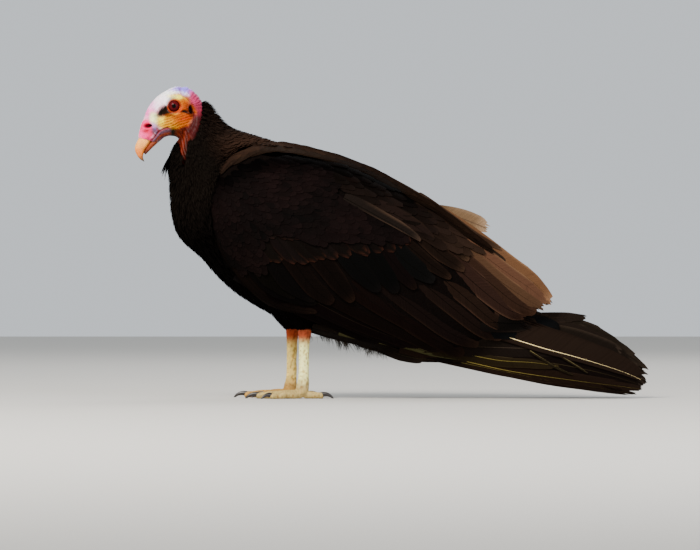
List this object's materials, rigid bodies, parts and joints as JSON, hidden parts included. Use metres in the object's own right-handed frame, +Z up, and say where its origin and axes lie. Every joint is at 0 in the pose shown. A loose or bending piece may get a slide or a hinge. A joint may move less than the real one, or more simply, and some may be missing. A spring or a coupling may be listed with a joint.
{
  "type": "lesser yellow-headed vulture",
  "caption": "Still, life-size lesser yellow-headed vulture, standing, with closed wings, a bare yellow, pink and white head and a hooked bill.",
  "frame": {"origin": "on the floor, in the middle of the bird's length and width", "axes": "the bird faces -X, its left side is -Y, +Z up"},
  "size_m": [0.53, 0.1794, 0.3205],
  "materials": {
    "bare_skin": "bare wrinkled skin: yellow and orange cheeks, white forehead, pink bill base and nape",
    "horn": "smooth cream to orange horn, satin",
    "eye": "dark red iris round a black pupil, wet gloss",
    "body_feather": "soft matt blackish-brown feathers",
    "wing_feather": "dark brown feathers with a low sheen and browner edges",
    "leg_scale": "cream scaled skin, dirty grey-brown on the toes",
    "claw": "black horn, satin"
  },
  "bodies": {
    "root": {"head": "bare_skin", "bill_upper": "horn", "bill_lower": "horn", "eye_left": "eye", "eye_right": "eye", "neck": "body_feather", "trunk": "body_feather", "thigh_left": "body_feather", "thigh_right": "body_feather", "wing_left": "wing_feather", "wing_right": "wing_feather", "wingtip_left": "wing_feather", "wingtip_right": "wing_feather", "shoulder_feather_right": "wing_feather", "tail": "wing_feather", "shank_left": "leg_scale", "shank_right": "leg_scale", "foot_left": "leg_scale", "foot_right": "leg_scale", "claw_left_inner": "claw", "claw_left_middle": "claw", "claw_left_outer": "claw", "claw_left_hind": "claw", "claw_right_inner": "claw", "claw_right_middle": "claw", "claw_right_outer": "claw", "claw_right_hind": "claw"}
  },
  "joints": []
}
